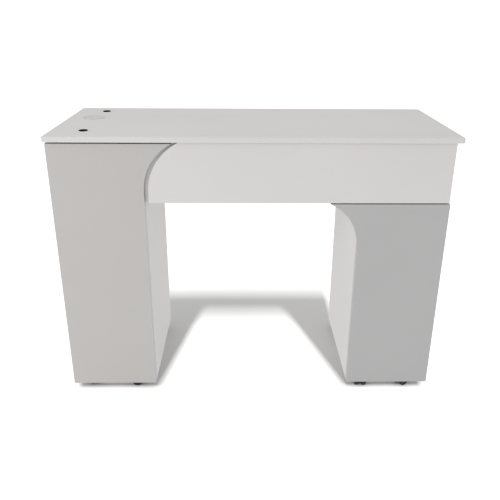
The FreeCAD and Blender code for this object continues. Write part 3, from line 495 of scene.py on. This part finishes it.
def painted_light_pool(made, place):
    """1 on the painted pool of light between the pedestals, where the camera glow paints the floor white over its
    shade.
    """
    x, y = place
    left, right = (made.math("ADD", made.math("MULTIPLY", y, slope), start)
                   for start, slope in (POOL_LEFT, POOL_RIGHT))
    inside = made.math("MULTIPLY", made.spread(made.math("SUBTRACT", x, left), 0.0, 1.0, *POOL_EDGE),
                       made.spread(made.math("SUBTRACT", right, x), 0.0, 1.0, *POOL_EDGE))
    return made.math("MULTIPLY", inside, made.spread(y, 1.0, 0.0, *POOL_BACK))


def make_floor():
    """A pale sheet that glows to full white for the camera, except in zones with painted outlines where the
    table's shade shows; a painted pool of light lies between the pedestals.
    """
    mesh = bpy.data.meshes.new("studio_floor")
    corners = [(-1, -1), (1, -1), (1, 1), (-1, 1)]
    mesh.from_pydata([(x * FLOOR_REACH, y * FLOOR_REACH, 0) for x, y in corners], [], [(0, 1, 2, 3)])
    floor = bpy.data.objects.new("studio_floor", mesh)
    bpy.context.scene.collection.objects.link(floor)
    made = Shader.new("studio_floor_paper")
    place = made.axes()
    _, y = place
    # Painted shade: the camera glow is held back in the knee and foot zones and fades out behind the table.
    shaded = made.math("MULTIPLY", zone(made, place, *KNEE_SHADE), made.spread(y, 1.0, 0.0, *BACK_FADE))
    for foot in FOOT_SHADES:
        shaded = made.math("MAXIMUM", shaded, zone(made, place, *foot))
    # Painted light: the pool between the pedestals glows white again.
    shaded = made.math("MULTIPLY", shaded, made.math("SUBTRACT", 1.0, painted_light_pool(made, place)))
    seen = made.spread(shaded, FLOOR_GLOW, 0.0, 0.0, 1.0)
    ray = made.node("ShaderNodeLightPath").outputs["Is Camera Ray"]
    # Painted light: the glow that other rays see.
    unseen = made.math("MULTIPLY", made.math("SUBTRACT", 1.0, ray), FLOOR_BOUNCE)
    glow = made.math("ADD", made.math("MULTIPLY", seen, ray), unseen)
    # Painted shadow: the floor's colour sinks to the shadow tone in the strips along the pedestals' inner edges.
    painted_shadow = made.math("MAXIMUM", *(zone(made, place, *strip) for strip in PAINTED_SHADOW_STRIPS))
    made.set(Base_Color=made.mix(painted_shadow, FLOOR_TONE, PAINTED_SHADOW_TONE), Roughness=0.9, Specular_IOR_Level=0.1)
    made.set(Emission_Color=(1.0, 1.0, 1.0), Emission_Strength=glow)
    mesh.materials.append(made.material)


def make_world():
    """A white surround: full white to the camera, softer as a light."""
    world = bpy.data.worlds.new("white_surround")
    bpy.context.scene.world = world
    world.use_nodes = True
    tree = world.node_tree
    background = tree.nodes["Background"]
    background.inputs["Color"].default_value = (1, 1, 1, 1)
    ray = tree.nodes.new("ShaderNodeLightPath")
    strength = tree.nodes.new("ShaderNodeMapRange")
    strength.inputs["To Min"].default_value = WORLD_LIGHT
    strength.inputs["To Max"].default_value = WORLD_SEEN
    tree.links.new(ray.outputs["Is Camera Ray"], strength.inputs["Value"])
    tree.links.new(strength.outputs["Result"], background.inputs["Strength"])


def softbox(name, place, aim, size, power, tint):
    data = bpy.data.lights.new(name, "AREA")
    data.shape = "RECTANGLE"
    data.size, data.size_y = size
    data.energy = power
    data.color = tint
    lamp = bpy.data.objects.new(name, data)
    bpy.context.scene.collection.objects.link(lamp)
    lamp.location = place
    lamp.rotation_mode = "QUATERNION"
    lamp.rotation_quaternion = (Vector(place) - Vector(aim)).to_track_quat("Z", "Y")
    lamp.visible_camera = False


def make_lights():
    """A warm key from the left front, a weak fill from the right and a wide lamp above."""
    table = (0, 0, 0.4)
    softbox("key_left", (-2.6, -2.6, 1.9), table, (2.4, 2.0), 34, (1.0, 0.965, 0.935))
    softbox("fill_right", (2.6, -2.4, 1.8), table, (2.4, 2.0), 5, (0.98, 0.99, 1.0))
    softbox("overhead", (0.0, 0.3, 3.0), (0, 0.1, 0.8), (3.0, 2.0), 19, (1.0, 1.0, 1.0))


EYE_PLACE = (-0.0333, -1.7344, 1.1225)
LOOK_DOWN, LOOK_ACROSS, TILT = (math.radians(angle) for angle in (22.23, 1.13, 0.42))
LENS = 42.45
LENS_SHIFT = (-0.005, -0.0134)


def make_camera():
    """Stands where the table was seen from: in front, a little left, looking 22 degrees down."""
    data = bpy.data.cameras.new("viewpoint")
    data.sensor_width = 36.0
    data.lens = LENS
    data.shift_x, data.shift_y = LENS_SHIFT
    data.clip_end = 50.0
    eye = bpy.data.objects.new("viewpoint", data)
    bpy.context.scene.collection.objects.link(eye)
    ahead = Vector((math.sin(LOOK_ACROSS) * math.cos(LOOK_DOWN), math.cos(LOOK_ACROSS) * math.cos(LOOK_DOWN),
                    -math.sin(LOOK_DOWN)))
    level = Vector((math.cos(LOOK_ACROSS), -math.sin(LOOK_ACROSS), 0.0))
    upward = level.cross(ahead)
    right = math.cos(TILT) * level + math.sin(TILT) * upward
    top = math.cos(TILT) * upward - math.sin(TILT) * level
    turn = Matrix((right, top, -ahead)).transposed().to_4x4()
    eye.matrix_world = Matrix.Translation(Vector(EYE_PLACE)) @ turn
    bpy.context.scene.camera = eye


dress_nodes()
add_painted_recess_shades()
add_hinge_screws()
add_bumpers()
make_floor()
make_world()
make_lights()
make_camera()
bpy.context.scene.view_settings.view_transform = "Standard"
